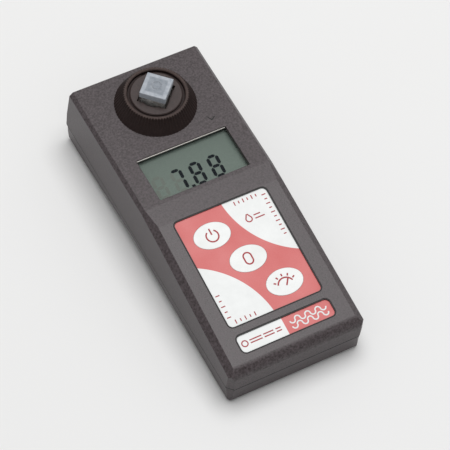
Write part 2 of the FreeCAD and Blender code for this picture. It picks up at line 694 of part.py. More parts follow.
def make_contact_springs():
    """Conical contact springs, as coned cups between each plate and its cell."""
    springs = []
    length = POCKET_Y - CONTACT_T - BATTERY_L / 2
    for i, x in enumerate(CELL_X):
        away = 1 if i % 2 else -1
        foot = V(x, away * (POCKET_Y - CONTACT_T), CELL_Z)
        cup = Part.makeCone(3.6, 2.4, length, foot, V(0, -away, 0))
        core = Part.makeCone(2.9, 1.7, length, foot, V(0, -away, 0))
        springs.append(on_belly(cup.cut(core)))
    return Part.makeCompound(springs)


def make_door():
    """Battery door with a raised rim for its seal, finger ridges and a sunk screw eye."""
    half, y0, y1 = DOOR
    door = plate(-half, half, y0, y1, 0, DOOR_T, 1.0)
    lip_half = half - LIP_IN
    lip = box(-lip_half, lip_half, -LIP_Y, LIP_Y, DOOR_T, DOOR_T + LIP_H)
    door = door.fuse(lip).removeSplitter()
    wall = 1.2
    cuts = [box(-lip_half + wall, lip_half - wall, -LIP_Y + wall, LIP_Y - wall, DOOR_T, DOOR_T + 2)]
    cuts += [box(-9, 9, 17.0 + 2.4 * i, 17.8 + 2.4 * i, -1, 0.4) for i in range(3)]
    cuts.append(rod(0, SCREW_Y, -1, DOOR_SCREW_HEAD[1] + 0.05, DOOR_SCREW_HEAD_R + 0.1))
    cuts.append(rod(0, SCREW_Y, -1, 5, DOOR_SCREW_R + RUNNING_GAP))
    return on_belly(door.cut(cuts))


def make_door_seal():
    half, thick = DOOR[0] - LIP_IN, 0.9
    outer = box(-half - thick, half + thick, -LIP_Y - thick, LIP_Y + thick, DOOR_T, DOOR_T + 1.0)
    inner = box(-half, half, -LIP_Y, LIP_Y, DOOR_T - 1, DOOR_T + 2)
    return on_belly(outer.cut(inner))


def make_door_screw():
    """Coin screw: a wide slotted head and a plain shank."""
    under, top = DOOR_SCREW_HEAD
    head = rod(0, SCREW_Y, under, top, DOOR_SCREW_HEAD_R)
    shank = rod(0, SCREW_Y, top, 9.5, DOOR_SCREW_R)
    slot = box(-4, 4, SCREW_Y - 0.5, SCREW_Y + 0.5, under - 1, under + 0.6)
    return on_belly(head.fuse(shank).removeSplitter().cut(slot))


# ---------------------------------------------------------------- all sub-parts
def make_all():
    upper = make_upper_case().fuse(key_board_posts())
    upper = upper.removeSplitter().cut([make_key_board_screws(), make_flange_seal()])
    parts = {
        "upper_case": upper,
        "lower_case": make_lower_case(),
        "case_gasket": seal_loop(),
        "case_screws": make_case_screws(),
        "keypad_overlay": make_overlay(),
        "name_label": make_label(),
        "key_board": make_key_board().cut(make_key_board_screws()),
        "key_domes": make_key_domes(),
        "key_board_screws": make_key_board_screws(),
        "controller_chips": make_controller_chips(),
        "display_lens": make_lens(),
        "display_glass": make_display_glass(),
        "display_frame": make_display_frame(),
        "contact_strips": make_contact_strips(),
        "display_board": make_display_board(),
        "display_board_screws": make_display_board_screws(),
        "board_link": make_board_link(),
        "well_insert": make_well_insert().cut(make_flange_seal()),
        "flange_seal": make_flange_seal(),
        "knurled_collar": make_collar(),
        "collar_retainer": make_retainer(),
        "collar_seal": make_collar_seal(),
        "cuvette_body": make_cuvette(),
        "cuvette_cap": make_cap(),
        "optical_block": make_optical_block(),
        "light_source": make_light_source(),
        "optical_filter": make_filter(),
        "photodiode": make_photodiode(),
        "block_screws": make_block_screws(),
        "sensor_lead": make_sensor_lead(),
        "battery_tray": make_battery_tray(),
        "battery_contacts": make_contacts(),
        "contact_springs": make_contact_springs(),
        "battery_door": make_door(),
        "door_seal": make_door_seal(),
        "door_screw": make_door_screw(),
    }
    for name, (x, y) in KEYS.items():
        parts[name] = make_key(x, y)
    for i, x in enumerate(CELL_X):
        parts["battery_%d" % (i + 1)] = make_battery(x, turned=i % 2 == 1)
    return parts


os.makedirs("parts", exist_ok=True)
for name, shape in make_all().items():
    shape.exportStep("parts/%s.step" % name)
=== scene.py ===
import bpy, bmesh, json, math
from mathutils import Matrix, Vector


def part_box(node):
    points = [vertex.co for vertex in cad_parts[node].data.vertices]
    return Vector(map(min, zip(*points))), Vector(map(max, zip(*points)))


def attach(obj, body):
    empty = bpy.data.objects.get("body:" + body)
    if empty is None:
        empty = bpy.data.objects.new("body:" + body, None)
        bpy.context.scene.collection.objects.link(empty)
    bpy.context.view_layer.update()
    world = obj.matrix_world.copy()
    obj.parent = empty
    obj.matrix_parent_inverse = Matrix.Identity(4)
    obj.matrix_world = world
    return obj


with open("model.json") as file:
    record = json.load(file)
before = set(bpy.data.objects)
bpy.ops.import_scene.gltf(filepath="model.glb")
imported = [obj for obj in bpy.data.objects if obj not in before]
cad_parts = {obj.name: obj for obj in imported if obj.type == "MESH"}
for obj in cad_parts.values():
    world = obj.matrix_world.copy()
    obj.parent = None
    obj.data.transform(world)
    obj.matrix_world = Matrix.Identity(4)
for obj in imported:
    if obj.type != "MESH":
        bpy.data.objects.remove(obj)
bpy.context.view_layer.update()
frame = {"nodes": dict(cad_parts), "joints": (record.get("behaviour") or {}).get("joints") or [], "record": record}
MM = 0.001
MARK_LIFT = 0.005         # mm that a mark stands clear of its face
PANEL_CORNER = 2.9        # mm, round corners of the sunk panels
PRINT_T = 0.04            # mm, thickness of a printed mark
JOINTS = {joint["name"]: joint for joint in frame["joints"]}
MOUNTS = {mount["name"]: mount for mount in frame["record"]["mounts"]}


# ---------------------------------------------------------------- places read from the frame
def slope_frame():
    """Matrix of the sloping handle face: its origin is the middle of the keypad's far edge."""
    far_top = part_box("keypad_overlay")[1]
    press = Vector(JOINTS["key_zero_press"]["axis"]).normalized()
    up = -press
    across = Vector((1, 0, 0))
    along = up.cross(across)
    basis = Matrix((across, along, up)).transposed().to_4x4()
    return Matrix.Translation((0, far_top.y, far_top.z)) @ basis


SLOPE = slope_frame()
WELL = Vector(MOUNTS["sample_well"]["pos_m"])


def slope_span(node):
    """A node's lowest and highest corner in the handle face's own coordinates, in mm."""
    turn = SLOPE.inverted()
    points = [turn @ vertex.co / MM for vertex in frame["nodes"][node].data.vertices]
    return (Vector(min(point[i] for point in points) for i in range(3)),
            Vector(max(point[i] for point in points) for i in range(3)))


def face_plane(node):
    """Plane that lies on a node's outer face: its origin is the middle of that face."""
    low, high = slope_span(node)
    place = Vector(((low.x + high.x) / 2, (low.y + high.y) / 2, high.z + MARK_LIFT))
    return SLOPE @ Matrix.Translation(place * MM)


# ---------------------------------------------------------------- shader building
class Shader:
    """A node tree with short helpers, for a material or for a group."""

    def __init__(self, tree):
        self.tree = tree

    def node(self, kind, **settings):
        made = self.tree.nodes.new(kind)
        for key, value in settings.items():
            setattr(made, key, value)
        return made

    def feed(self, socket, value):
        if isinstance(value, bpy.types.NodeSocket):
            self.tree.links.new(value, socket)
        elif value is not None:
            socket.default_value = value

    def math(self, operation, a, b=None, c=None, clamp=False):
        made = self.node("ShaderNodeMath", operation=operation, use_clamp=clamp)
        for socket, value in zip(made.inputs, (a, b, c)):
            self.feed(socket, value)
        return made.outputs[0]

    def noise(self, vector, scale, detail=2.0, roughness=0.5, distortion=0.0):
        made = self.node("ShaderNodeTexNoise")
        self.feed(made.inputs["Vector"], vector)
        for name, value in (("Scale", scale), ("Detail", detail), ("Roughness", roughness),
                            ("Distortion", distortion)):
            self.feed(made.inputs[name], value)
        return made.outputs[0]

    def spread(self, value, low, high, to_low=0.0, to_high=1.0):
        made = self.node("ShaderNodeMapRange")
        for name, given in (("Value", value), ("From Min", low), ("From Max", high),
                            ("To Min", to_low), ("To Max", to_high)):
            self.feed(made.inputs[name], given)
        return made.outputs[0]

    def mix(self, factor, a, b, blend="MIX"):
        made = self.node("ShaderNodeMix", data_type="RGBA", blend_type=blend)
        self.feed(made.inputs["Factor"], factor)
        self.feed(made.inputs[6], a)
        self.feed(made.inputs[7], b)
        return made.outputs[2]

    def group(self, tree, **inputs):
        made = self.node("ShaderNodeGroup", node_tree=tree)
        for name, value in inputs.items():
            self.feed(made.inputs[name.replace("_", " ")], value)
        return made.outputs

    def object_place(self, matrix=None):
        """Object coordinates; with a matrix, the coordinates seen from that frame."""
        place = self.node("ShaderNodeTexCoord").outputs["Object"]
        if matrix is None:
            return place
        mapping = self.node("ShaderNodeMapping", vector_type="TEXTURE")
        self.feed(mapping.inputs["Vector"], place)
        mapping.inputs["Location"].default_value = matrix.translation
        mapping.inputs["Rotation"].default_value = matrix.to_euler()
        return mapping.outputs[0]

    def split(self, vector):
        made = self.node("ShaderNodeSeparateXYZ")
        self.feed(made.inputs[0], vector)
        return made.outputs


def colour(r, g, b):
    """Display values from 0 to 255, as the linear colour that shaders take."""
    def linear(value):
        v = value / 255
        return v / 12.92 if v <= 0.04045 else ((v + 0.055) / 1.055) ** 2.4
    return (linear(r), linear(g), linear(b), 1.0)


def new_group(name, inputs, outputs):
    tree = bpy.data.node_groups.new(name, "ShaderNodeTree")
    for socket_name, kind, value in inputs:
        socket = tree.interface.new_socket(socket_name, in_out="INPUT", socket_type=kind)
        if value is not None:
            socket.default_value = value
    for socket_name, kind in outputs:
        tree.interface.new_socket(socket_name, in_out="OUTPUT", socket_type=kind)
    shader = Shader(tree)
    return tree, shader, shader.node("NodeGroupInput").outputs, shader.node("NodeGroupOutput").inputs


def mould_grain_group():
    """Spark-eroded mould texture: fine pits, soft mottling and a height for bump."""
    tree, s, given, out = new_group(
        "mould grain",
        [("Place", "NodeSocketVector", None), ("Pit Scale", "NodeSocketFloat", 2600.0),
         ("Mottle Scale", "NodeSocketFloat", 700.0)],
        [("Height", "NodeSocketFloat"), ("Mottle", "NodeSocketFloat"), ("Speckle", "NodeSocketFloat")])
    pits = s.noise(given["Place"], given["Pit Scale"], detail=3.0, roughness=0.6)
    mottle = s.noise(given["Place"], given["Mottle Scale"], detail=4.0, roughness=0.7)
    s.feed(out["Height"], s.math("ADD", pits, s.math("MULTIPLY", mottle, 0.5)))
    s.feed(out["Mottle"], s.spread(mottle, 0.38, 0.62))
    s.feed(out["Speckle"], s.spread(pits, 0.42, 0.58))
    return tree


def soft_edge_group():
    """Rounds hard edges in the shading, and gives a broken mask along them: rubbed wear on most finishes, a
    painted highlight on the lid and the collar.
    """
    tree, s, given, out = new_group(
        "soft edge",
        [("Radius", "NodeSocketFloat", 0.0004), ("Place", "NodeSocketVector", None)],
        [("Normal", "NodeSocketVector"), ("Wear And Highlight", "NodeSocketFloat")])
    bevel = s.node("ShaderNodeBevel", samples=6)
    s.feed(bevel.inputs["Radius"], given["Radius"])
    geometry = s.node("ShaderNodeNewGeometry")
    dot = s.node("ShaderNodeVectorMath", operation="DOT_PRODUCT")
    s.feed(dot.inputs[0], bevel.outputs[0])
    s.feed(dot.inputs[1], geometry.outputs["Normal"])
    bend = s.spread(dot.outputs["Value"], 0.995, 0.80)
    broken = s.spread(s.noise(given["Place"], 260.0, detail=5.0, roughness=0.75), 0.42, 0.62)
    s.feed(out["Normal"], bevel.outputs[0])
    s.feed(out["Wear And Highlight"], s.math("MULTIPLY", bend, broken, clamp=True))
    return tree


def dust_group():
    """Fine dust and finger marks: a mask that lightens and roughens a surface unevenly."""
    tree, s, given, out = new_group(
        "dust",
        [("Place", "NodeSocketVector", None), ("Amount", "NodeSocketFloat", 0.3)],
        [("Mask", "NodeSocketFloat")])
    cloud = s.spread(s.noise(given["Place"], 45.0, detail=6.0, roughness=0.65, distortion=0.6), 0.38, 0.72)
    specks = s.spread(s.noise(given["Place"], 900.0, detail=1.0), 0.70, 0.80)
    both = s.math("ADD", s.math("MULTIPLY", cloud, 0.6), specks)
    s.feed(out["Mask"], s.math("MULTIPLY", both, given["Amount"], clamp=True))
    return tree


GRAIN = mould_grain_group()
SOFT_EDGE = soft_edge_group()
DUST = dust_group()


def finish_of(name, base, roughness, normal=None, **fixed):
    """A material from its linked colour, roughness and normal, and its constant values."""
    material = bpy.data.materials.new(name)
    material.use_nodes = True
    material.node_tree.nodes.clear()
    s = Shader(material.node_tree)
    principled = s.node("ShaderNodeBsdfPrincipled")
    for key, value in fixed.items():
        principled.inputs[key.replace("_", " ")].default_value = value
    s.feed(s.node("ShaderNodeOutputMaterial").inputs["Surface"], principled.outputs[0])
    s.feed(principled.inputs["Base Color"], base(s))
    s.feed(principled.inputs["Roughness"], roughness(s) if callable(roughness) else roughness)
    if normal:
        s.feed(principled.inputs["Normal"], normal(s))
    return material


def bump(s, height, strength, distance, normal=None):
    made = s.node("ShaderNodeBump")
    made.inputs["Strength"].default_value = strength
    made.inputs["Distance"].default_value = distance
    s.feed(made.inputs["Height"], height)
    s.feed(made.inputs["Normal"], normal)
    return made.outputs[0]


def moulded(name, dark, light, worn, rough=(0.42, 0.6), radius=0.0004, pit=2600.0, depth=0.00006,
            mottle_scale=700.0, dust=0.25, **fixed):
    """Textured moulded plastic: mottled between two tones, paler where edges are rubbed."""
    def grain(s):
        return s.group(GRAIN, Place=s.object_place(), Pit_Scale=pit, Mottle_Scale=mottle_scale)

    def base(s):
        marks = grain(s)
        tone = s.mix(marks["Mottle"], dark, light)
        tone = s.mix(s.math("MULTIPLY", marks["Speckle"], 0.35), tone, light)
        edge = s.group(SOFT_EDGE, Radius=radius, Place=s.object_place())
        tone = s.mix(s.math("MULTIPLY", edge["Wear And Highlight"], 0.7), tone, worn)
        mask = s.group(DUST, Place=s.object_place(), Amount=dust)["Mask"]
        return s.mix(s.math("MULTIPLY", mask, 0.25), tone, worn)

    def roughness(s):
        mask = s.group(DUST, Place=s.object_place(), Amount=dust)["Mask"]
        return s.spread(s.math("ADD", grain(s)["Mottle"], mask), 0.0, 1.4, *rough)

    def normal(s):
        edge = s.group(SOFT_EDGE, Radius=radius, Place=s.object_place())
        return bump(s, grain(s)["Height"], 0.5, depth, edge["Normal"])

    return finish_of(name, base, roughness, normal, **fixed)


# ---------------------------------------------------------------- finishes of this tester
CORAL = colour(206, 92, 91)
PRINT_WHITE = colour(236, 238, 237)
PRINT_RED = colour(176, 52, 58)


def inside_circle(s, x, y, centre, radius, blur=0.00008):
    """Mask of a round field on the print, with a crisp screened edge."""
    dx = s.math("SUBTRACT", x, centre[0])
    dy = s.math("SUBTRACT", y, centre[1])
    distance = s.math("SQRT", s.math("ADD", s.math("MULTIPLY", dx, dx), s.math("MULTIPLY", dy, dy)))
    return s.spread(distance, radius + blur, radius - blur)


def coral_ink(s, place):
    """Screened coral ink, faintly uneven."""
    return s.mix(s.spread(s.noise(place, 1500.0, detail=3.0), 0.3, 0.7, 0.0, 0.35), CORAL,
                 colour(216, 108, 103))


def print_roughness(s):
    return s.spread(s.noise(s.object_place(), 60.0, detail=5.0), 0.3, 0.7, 0.32, 0.46)


def print_normal(s):
    return bump(s, s.noise(s.object_place(), 3500.0, detail=2.0), 0.3, 0.00002)


def keypad_print():
    """Coral band that runs between two white fields, mirrored through the middle key."""
    field_radius = 45.0 * MM
    field_centre = Vector((46.2, 2.8)) * MM
    low, high = slope_span("key_zero")
    opposite = (-field_centre.x, (low.y + high.y) * MM - field_centre.y)

    def base(s):
        place = s.object_place(SLOPE)
        x, y, _ = s.split(place)
        far = inside_circle(s, x, y, field_centre, field_radius)
        near = inside_circle(s, x, y, opposite, field_radius)
        fields = s.math("ADD", far, near, clamp=True)
        paper = s.mix(s.spread(s.noise(place, 300.0, detail=4.0), 0.35, 0.75, 0.0, 0.5), PRINT_WHITE,
                      colour(226, 228, 227))
        return s.mix(fields, coral_ink(s, place), paper)

    return finish_of("keypad print", base, print_roughness, print_normal)


def label_print():
    """White plate with a coral end."""
    split = -0.3 * MM
    blur = 0.00008

    def base(s):
        place = s.object_place(SLOPE)
        x, _, _ = s.split(place)
        coral = s.spread(x, split - blur, split + blur)
        return s.mix(coral, PRINT_WHITE, coral_ink(s, place))

    return finish_of("label print", base, print_roughness, print_normal)


def plain_ink(name, tone, deeper, gloss=0.4):
    """One flat colour with a trace of the ink's grain."""
    def base(s):
        return s.mix(s.spread(s.noise(s.object_place(), 2200.0, detail=3.0), 0.35, 0.65), tone, deeper)
    return finish_of(name, base, 0.5, Specular_IOR_Level=gloss)


def key_plastic():
    """White satin plastic, a little worn where fingers press."""
    def base(s):
        blotch = s.spread(s.noise(s.object_place(), 220.0, detail=5.0), 0.35, 0.75, 0.0, 0.6)
        edge = s.group(SOFT_EDGE, Radius=0.0003, Place=s.object_place())
        tone = s.mix(blotch, PRINT_WHITE, colour(224, 225, 222))
        return s.mix(s.math("MULTIPLY", edge["Wear And Highlight"], 0.5), tone, colour(205, 200, 196))

    def roughness(s):
        return s.spread(s.noise(s.object_place(), 90.0, detail=4.0), 0.3, 0.7, 0.28, 0.42)

    def normal(s):
        edge = s.group(SOFT_EDGE, Radius=0.0003, Place=s.object_place())
        return bump(s, s.noise(s.object_place(), 3000.0), 0.25, 0.00002, edge["Normal"])

    return finish_of("key plastic", base, roughness, normal)


def display_film():
    """Reflective grey-green display: fine horizontal grain, and painted shade that darkens it towards the far
    side.
    """
    def base(s):
        place = s.object_place()
        _, y, _ = s.split(place)
        low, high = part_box("display_glass")
        # Painted shade: the display grows darker towards its far side.
        far_side_painted_shade = s.spread(y, low.y, high.y, 0.0, 0.55)
        tone = s.mix(far_side_painted_shade, colour(132, 146, 137), colour(108, 121, 113))
        grain = s.spread(s.noise(place, 1800.0, detail=3.0), 0.35, 0.65, 0.0, 0.4)
        return s.mix(grain, tone, colour(108, 121, 114))

    def roughness(s):
        return s.spread(s.noise(s.object_place(), 120.0, detail=4.0), 0.3, 0.7, 0.36, 0.5)

    def normal(s):
        return bump(s, s.noise(s.object_place(), 4000.0), 0.2, 0.00001)

    return finish_of("display film", base, roughness, normal, Specular_IOR_Level=0.15)


def clear_plastic(name, tint, alpha=1.0, transmission=1.0, ior=1.49):
    """Clear moulding with faint flow marks and a polished skin."""
    def base(s):
        flow = s.spread(s.noise(s.object_place(), 55.0, detail=4.0, distortion=1.5), 0.35, 0.7, 0.0, 0.4)
        return s.mix(flow, tint, tuple(0.94 * value for value in tint[:3]) + (1.0,))

    def roughness(s):
        return s.spread(s.noise(s.object_place(), 150.0, detail=5.0), 0.35, 0.75, 0.03, 0.12)

    def normal(s):
        return bump(s, s.noise(s.object_place(), 90.0, detail=2.0), 0.08, 0.00005)

    return finish_of(name, base, roughness, normal, Transmission_Weight=transmission, IOR=ior, Alpha=alpha)


def brushed_metal(name, tone, shadow, rough=(0.22, 0.42), stretch=(8.0, 1.0, 1.0), scale=900.0):
    """Plated or drawn metal with fine lines, spots of tarnish and rounded edges."""
    def lines(s):
        mapping = s.node("ShaderNodeMapping")
        s.feed(mapping.inputs["Vector"], s.object_place())
        mapping.inputs["Scale"].default_value = stretch
        return s.noise(mapping.outputs[0], scale, detail=3.0, roughness=0.6)

    def base(s):
        spots = s.spread(s.noise(s.object_place(), 320.0, detail=5.0), 0.5, 0.75, 0.0, 0.7)
        return s.mix(spots, s.mix(lines(s), tone, shadow), shadow)

    def roughness(s):
        return s.spread(lines(s), 0.3, 0.7, *rough)

    def normal(s):
        edge = s.group(SOFT_EDGE, Radius=0.00015, Place=s.object_place())
        return bump(s, lines(s), 0.3, 0.00002, edge["Normal"])

    return finish_of(name, base, roughness, normal, Metallic=1.0)


def circuit_board():
    """Green resist over copper tracks, with pads."""
    def tracks(s):
        brick = s.node("ShaderNodeTexBrick", offset=0.37, squash=0.6)
        s.feed(brick.inputs["Vector"], s.object_place())
        for key, value in (("Scale", 160.0), ("Mortar Size", 0.035), ("Mortar Smooth", 0.1),
                           ("Brick Width", 0.9), ("Row Height", 0.42)):
            brick.inputs[key].default_value = value
        return brick.outputs["Fac"]

    def pads(s):
        dots = s.node("ShaderNodeTexVoronoi", feature="F1")
        s.feed(dots.inputs["Vector"], s.object_place())
        dots.inputs["Scale"].default_value = 420.0
        return s.spread(dots.outputs["Distance"], 0.16, 0.12)

    def base(s):
        green = s.mix(tracks(s), colour(22, 84, 48), colour(46, 128, 70))
        return s.mix(pads(s), green, colour(190, 170, 110))

    def roughness(s):
        return s.spread(pads(s), 0.0, 1.0, 0.35, 0.25)

    def normal(s):
        return bump(s, s.math("ADD", tracks(s), pads(s)), 0.4, 0.00003)

    return finish_of("circuit board", base, roughness, normal)


def cell_jacket():
    """Printed battery jacket: dark sleeve with a pale band, and grey spots."""
    low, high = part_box("battery_1")
    handling_scale = 2.0 / (high.y - low.y)

    def along(s):
        _, y, _ = s.split(s.object_place())
        return s.spread(y, low.y, high.y)

    def base(s):
        reach = along(s)
        band = s.math("MULTIPLY", s.spread(reach, 0.68, 0.685), s.spread(reach, 0.86, 0.855))
        sleeve = s.mix(band, colour(38, 52, 74), colour(196, 160, 84))
        return s.mix(s.spread(s.noise(s.object_place(), 400.0, detail=4.0), 0.5, 0.8, 0.0, 0.4),
                     sleeve, colour(120, 124, 130))

    def roughness(s):
        return s.spread(s.noise(s.object_place(), handling_scale, detail=3.0), 0.3, 0.7, 0.25, 0.4)

    def normal(s):
        return bump(s, s.noise(s.object_place(), 1800.0), 0.15, 0.00002)

    return finish_of("cell jacket", base, roughness, normal, Metallic=0.35)


def cuvette_plastic():
    """Clear cell: see-through, with pale streaks painted in as glints where its moulded faces catch the light."""
    def base(s):
        # Pale streaks: painted glints on the clear faces.
        painted_glint = s.spread(s.noise(s.object_place(), 380.0, detail=4.0, distortion=1.2), 0.35, 0.65)
        return s.mix(painted_glint, colour(196, 190, 184), colour(236, 236, 234))

    def roughness(s):
        return s.spread(s.noise(s.object_place(), 150.0, detail=5.0), 0.35, 0.75, 0.05, 0.16)

    material = finish_of("cuvette plastic", base, roughness, IOR=1.52)
    s = Shader(material.node_tree)
    shader = next(node for node in material.node_tree.nodes if node.type == "BSDF_PRINCIPLED")
    # Uneven alpha lets the painted glints show as pale streaks.
    glint_cover = s.spread(s.noise(s.object_place(), 240.0, detail=3.0, distortion=0.8), 0.36, 0.64, 0.35, 0.8)
    s.feed(shader.inputs["Alpha"], glint_cover)
    return material


def lid_plastic():
    """Milky grey lid: the thin web in the middle is painted darker, as painted shade of the dark plug beneath it,
    and its edges get a painted highlight.
    """
    turned = Matrix.Translation(Vector((WELL.x, WELL.y, 0))) @ Matrix.Rotation(math.radians(-45), 4, "Z")
    web = 4.7 * MM

    def base(s):
        u, v, _ = s.split(s.object_place(turned))
        across = s.math("MAXIMUM", s.math("ABSOLUTE", u), s.math("ABSOLUTE", v))
        rim = s.spread(across, web - 0.0003, web + 0.0003)
        cloud = s.spread(s.noise(s.object_place(), 520.0, detail=5.0, roughness=0.7), 0.35, 0.65)
        # Darker web tone: painted shade of the plug under the thin web.
        web_painted_shade = s.mix(cloud, colour(126, 133, 142), colour(148, 154, 162))
        thick = s.mix(cloud, colour(152, 159, 168), colour(178, 183, 190))
        edge = s.group(SOFT_EDGE, Radius=0.0006, Place=s.object_place())
        # Near-white painted highlight along the lid's edges.
        return s.mix(s.math("MULTIPLY", edge["Wear And Highlight"], 0.8), s.mix(rim, web_painted_shade, thick), colour(214, 217, 221))

    def roughness(s):
        return s.spread(s.noise(s.object_place(), 200.0, detail=4.0), 0.3, 0.7, 0.28, 0.42)

    def normal(s):
        edge = s.group(SOFT_EDGE, Radius=0.0005, Place=s.object_place())
        return bump(s, s.noise(s.object_place(), 900.0, detail=3.0), 0.3, 0.00005, edge["Normal"])

    return finish_of("lid plastic", base, roughness, normal)


def case_plastic():
    """Grey-brown case with a coarse spark-eroded skin."""
    return moulded("case plastic", colour(38, 30, 30), colour(82, 73, 76), colour(104, 94, 95),
                   rough=(0.34, 0.50), pit=1500.0, depth=0.00013, mottle_scale=900.0)


def collar_plastic():
    """Dark brown cone under a paler rim: the rim is painted lighter as painted light on the top of the teeth, and
    the teeth's edges get a painted highlight.
    """
    rim_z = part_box("knurled_collar")[1].z
    rim_from, rim_to = rim_z - 0.45 * MM, rim_z - 0.3 * MM

    def base(s):
        place = s.object_place()
        _, _, z = s.split(place)
        marks = s.group(GRAIN, Place=place, Pit_Scale=3200.0, Mottle_Scale=700.0)
        cone = s.mix(marks["Mottle"], colour(35, 23, 21), colour(45, 32, 30))
        # Paler rim tone: painted light on the top of the teeth, where they face the lamp.
        rim = s.mix(marks["Mottle"], colour(58, 45, 42), colour(78, 65, 61))
        edge = s.group(SOFT_EDGE, Radius=0.00015, Place=place)
        tone = s.mix(s.spread(z, rim_from, rim_to), cone, rim)
        # Edge mask: a painted highlight on the lit edges of the teeth.
        return s.mix(s.math("MULTIPLY", edge["Wear And Highlight"], 0.6), tone, colour(92, 79, 75))

    def roughness(s):
        return s.spread(s.noise(s.object_place(), 700.0, detail=4.0), 0.38, 0.62, 0.55, 0.7)

    def normal(s):
        edge = s.group(SOFT_EDGE, Radius=0.00015, Place=s.object_place())
        return bump(s, s.noise(s.object_place(), 3200.0, detail=3.0), 0.5, 0.00003, edge["Normal"])

    return finish_of("collar plastic", base, roughness, normal, Specular_IOR_Level=0.3)


FINISHES = {
    "case": case_plastic,
    "collar": collar_plastic,
    "well": lambda: moulded("well plastic", colour(44, 31, 29), colour(62, 49, 47), colour(84, 74, 71),
                            rough=(0.45, 0.6), radius=0.0003),
    "overlay": keypad_print,
    "key": key_plastic,
    "label": label_print,
    "lens": lambda: clear_plastic("window plastic", (0.02, 0.02, 0.02, 1.0), alpha=0.08, transmission=0.0),
    "display": display_film,
    "frame": lambda: moulded("frame plastic", colour(26, 25, 26), colour(36, 35, 36), colour(60, 58, 58)),
    "strip": lambda: moulded("contact rubber", colour(70, 70, 76), colour(120, 120, 126),
                             colour(140, 140, 144), rough=(0.6, 0.8)),
    "board": circuit_board,
    "chip": lambda: moulded("chip package", colour(24, 24, 26), colour(38, 38, 40), colour(70, 70, 72),
                            radius=0.0001, rough=(0.5, 0.7)),
    "dome": lambda: brushed_metal("dome steel", colour(214, 214, 212), colour(150, 150, 150)),
    "steel": lambda: brushed_metal("screw steel", colour(196, 198, 200), colour(122, 122, 124)),
    # Near black: partly the rubber's own colour, partly painted shade, so the gasket lip reads as the dark line of
    # the seam.
    "seal": lambda: moulded("seal rubber and seam shade", colour(8, 8, 8), colour(14, 13, 13), colour(30, 28, 28),
                            rough=(0.6, 0.8), radius=0.0001),
    "film": lambda: moulded("flexible circuit", colour(150, 84, 28), colour(184, 112, 44),
                            colour(206, 150, 84), rough=(0.25, 0.4), radius=0.00005),
    "cell_clear": cuvette_plastic,
    "cap": lid_plastic,
    "block": lambda: moulded("block plastic", colour(18, 18, 19), colour(28, 28, 29), colour(50, 50, 50)),
    "lamp": lambda: clear_plastic("lamp plastic", (0.75, 0.95, 0.72, 1.0), ior=1.5),
    "filter": lambda: clear_plastic("filter glass", (0.20, 0.62, 0.34, 1.0), ior=1.5),
    "can": lambda: brushed_metal("gilt can", colour(206, 178, 110), colour(150, 122, 66)),
    "tray": lambda: moulded("tray plastic", colour(28, 27, 28), colour(40, 39, 40), colour(66, 64, 64)),
    "contact": lambda: brushed_metal("nickel contact", colour(206, 204, 196), colour(140, 136, 128)),
    "battery": cell_jacket,
}


def dress_nodes():
    """Gives each CAD node the finish that its slot names."""
    made = {slot: build() for slot, build in FINISHES.items()}
    for row in frame["record"]["subparts"]:
        for slot in frame["nodes"][row["node"]].material_slots:
            slot.material = made[row["material_slot"]]


dress_nodes()
RED_INK = plain_ink("red ink", PRINT_RED, colour(158, 40, 48))
WHITE_INK = plain_ink("white ink", PRINT_WHITE, colour(226, 228, 227))
SEGMENT_INK = plain_ink("segment ink", colour(16, 22, 27), colour(24, 32, 38), gloss=0.08)
GHOST_INK = plain_ink("ghost ink", colour(112, 121, 112), colour(118, 127, 118))
# Near-black paint for pieces that are painted shade: the line round the sunk panels and the arrowhead's groove.
SHADE_PAINT = plain_ink("painted shade ink", colour(16, 15, 15), colour(26, 24, 24))
# Pale opaque finish for the bar along the window's far wall: a painted highlight on the clear window's step.
WINDOW_HIGHLIGHT_PAINT = clear_plastic("window edge painted highlight", colour(240, 236, 230), transmission=0.0)


# ---------------------------------------------------------------- printed and lit marks, and pieces of painted shade and painted highlight
def add_bar(bm, centre, length, width, angle=0.0, thick=PRINT_T):
    """One flat bar, in mm, drawn in the plane."""
    turn = Matrix.Translation((centre[0], centre[1], thick / 2)) @ Matrix.Rotation(angle, 4, "Z")
    bmesh.ops.create_cube(bm, size=1.0, matrix=turn @ Matrix.Diagonal((length, width, thick, 1.0)))


def add_arc(bm, centre, radius, width, start, sweep, thick=PRINT_T, steps=40):
    """A flat curved stroke: a small section spun about the centre."""
    corners = [(radius - width / 2, 0), (radius + width / 2, 0), (radius + width / 2, thick),
               (radius - width / 2, thick)]
    section = [bm.verts.new((r, 0.0, z)) for r, z in corners]
    edges = [bm.edges.new((section[i], section[(i + 1) % 4])) for i in range(4)]
    full = abs(sweep - 2 * math.pi) < 1e-6
    place = Matrix.Translation((centre[0], centre[1], 0)) @ Matrix.Rotation(start, 4, "Z")
    before = set(bm.verts)
    spun = bmesh.ops.spin(bm, geom=section + edges, cent=(0, 0, 0), axis=(0, 0, 1), angle=sweep,
                          steps=steps, use_merge=full)
    if not full:
        bmesh.ops.contextual_create(bm, geom=edges)
        last = [g for g in spun["geom_last"] if isinstance(g, bmesh.types.BMEdge)]
        bmesh.ops.contextual_create(bm, geom=last)
    made = section + [v for v in bm.verts if v not in before]
    bmesh.ops.transform(bm, matrix=place, verts=list(set(made)))


def add_outline(bm, points, thick=PRINT_T):
    """A flat filled shape from its corners."""
    shape = bm.faces.new([bm.verts.new((x, y, 0.0)) for x, y in points])
    grown = bmesh.ops.extrude_face_region(bm, geom=[shape])
    top = [g for g in grown["geom"] if isinstance(g, bmesh.types.BMVert)]
    bmesh.ops.translate(bm, vec=(0, 0, thick), verts=top)


